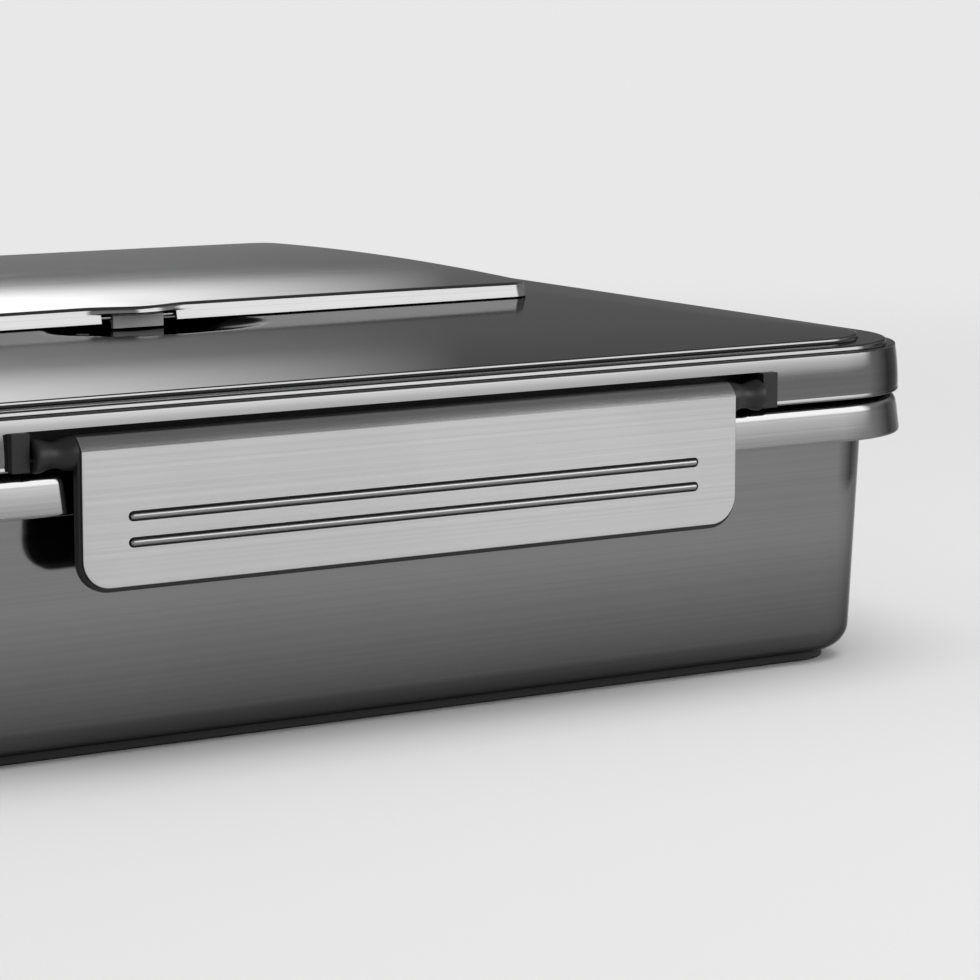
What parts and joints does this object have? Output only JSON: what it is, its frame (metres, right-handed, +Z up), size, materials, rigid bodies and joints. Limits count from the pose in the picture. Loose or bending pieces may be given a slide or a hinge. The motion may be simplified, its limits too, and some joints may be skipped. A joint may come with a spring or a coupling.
{
  "type": "metal lunch box",
  "caption": "Flat square steel lunch box whose lid closes with hinged clips and holds a covered cutlery tray.",
  "frame": {"origin": "on the table, under the middle of the box", "axes": "+Z up, +Y from the front clip to the back clip, +X to the right seen from the front"},
  "size_m": [0.2246, 0.2246, 0.061],
  "materials": {
    "tub_steel": "dark satin steel",
    "lid_steel": "smooth satin steel, glossier than the tub",
    "clip_steel": "pale matt steel",
    "pin_steel": "drawn wire",
    "frame_plastic": "black moulded plastic",
    "seal_silicone": "soft grey silicone",
    "foot_rubber": "black rubber",
    "tab_plastic": "dark moulded plastic"
  },
  "bodies": {
    "tub": {"container": "tub_steel", "base_foot": "foot_rubber"},
    "lid": {"lid_shell": "lid_steel", "lid_frame": "frame_plastic", "lid_gasket": "seal_silicone", "cutlery_tray": "tub_steel", "cover_hinge_leaf_left": "lid_steel", "cover_hinge_pin_left": "pin_steel", "cover_hinge_leaf_right": "lid_steel", "cover_hinge_pin_right": "pin_steel", "clip_pin_front": "pin_steel", "clip_pin_right": "pin_steel", "clip_pin_back": "pin_steel", "clip_pin_left": "pin_steel"},
    "cover": {"compartment_cover": "lid_steel", "latch_pin": "pin_steel"},
    "tab": {"latch_tab": "tab_plastic"},
    "front_clip": {"clip_front": "clip_steel", "catch_front": "clip_steel"},
    "right_clip": {"clip_right": "clip_steel", "catch_right": "clip_steel"},
    "back_clip": {"clip_back": "clip_steel", "catch_back": "clip_steel"},
    "left_clip": {"clip_left": "clip_steel", "catch_left": "clip_steel"}
  },
  "joints": [
    {"name": "lid_lift", "type": "slide", "parent": "tub", "child": "lid", "axis": [0, 0, 1], "range_m": [0, 0.06]},
    {"name": "front_clip_hinge", "type": "hinge", "parent": "lid", "child": "front_clip", "pos_m": [0, -0.1078, 0.0487], "axis": [-1, 0, 0], "range_deg": [-5, 95]},
    {"name": "right_clip_hinge", "type": "hinge", "parent": "lid", "child": "right_clip", "pos_m": [0.1078, 0, 0.0487], "axis": [0, -1, 0], "range_deg": [-5, 95]},
    {"name": "back_clip_hinge", "type": "hinge", "parent": "lid", "child": "back_clip", "pos_m": [0, 0.1078, 0.0487], "axis": [1, 0, 0], "range_deg": [-5, 95]},
    {"name": "left_clip_hinge", "type": "hinge", "parent": "lid", "child": "left_clip", "pos_m": [-0.1078, 0, 0.0487], "axis": [0, 1, 0], "range_deg": [-5, 95]},
    {"name": "cover_hinge", "type": "hinge", "parent": "lid", "child": "cover", "pos_m": [0, 0.0882, 0.05815], "axis": [-1, 0, 0], "range_deg": [0, 110]},
    {"name": "tab_hinge", "type": "hinge", "parent": "cover", "child": "tab", "pos_m": [0, -0.0146, 0.058], "axis": [-1, 0, 0], "range_deg": [0, 25]}
  ]
}
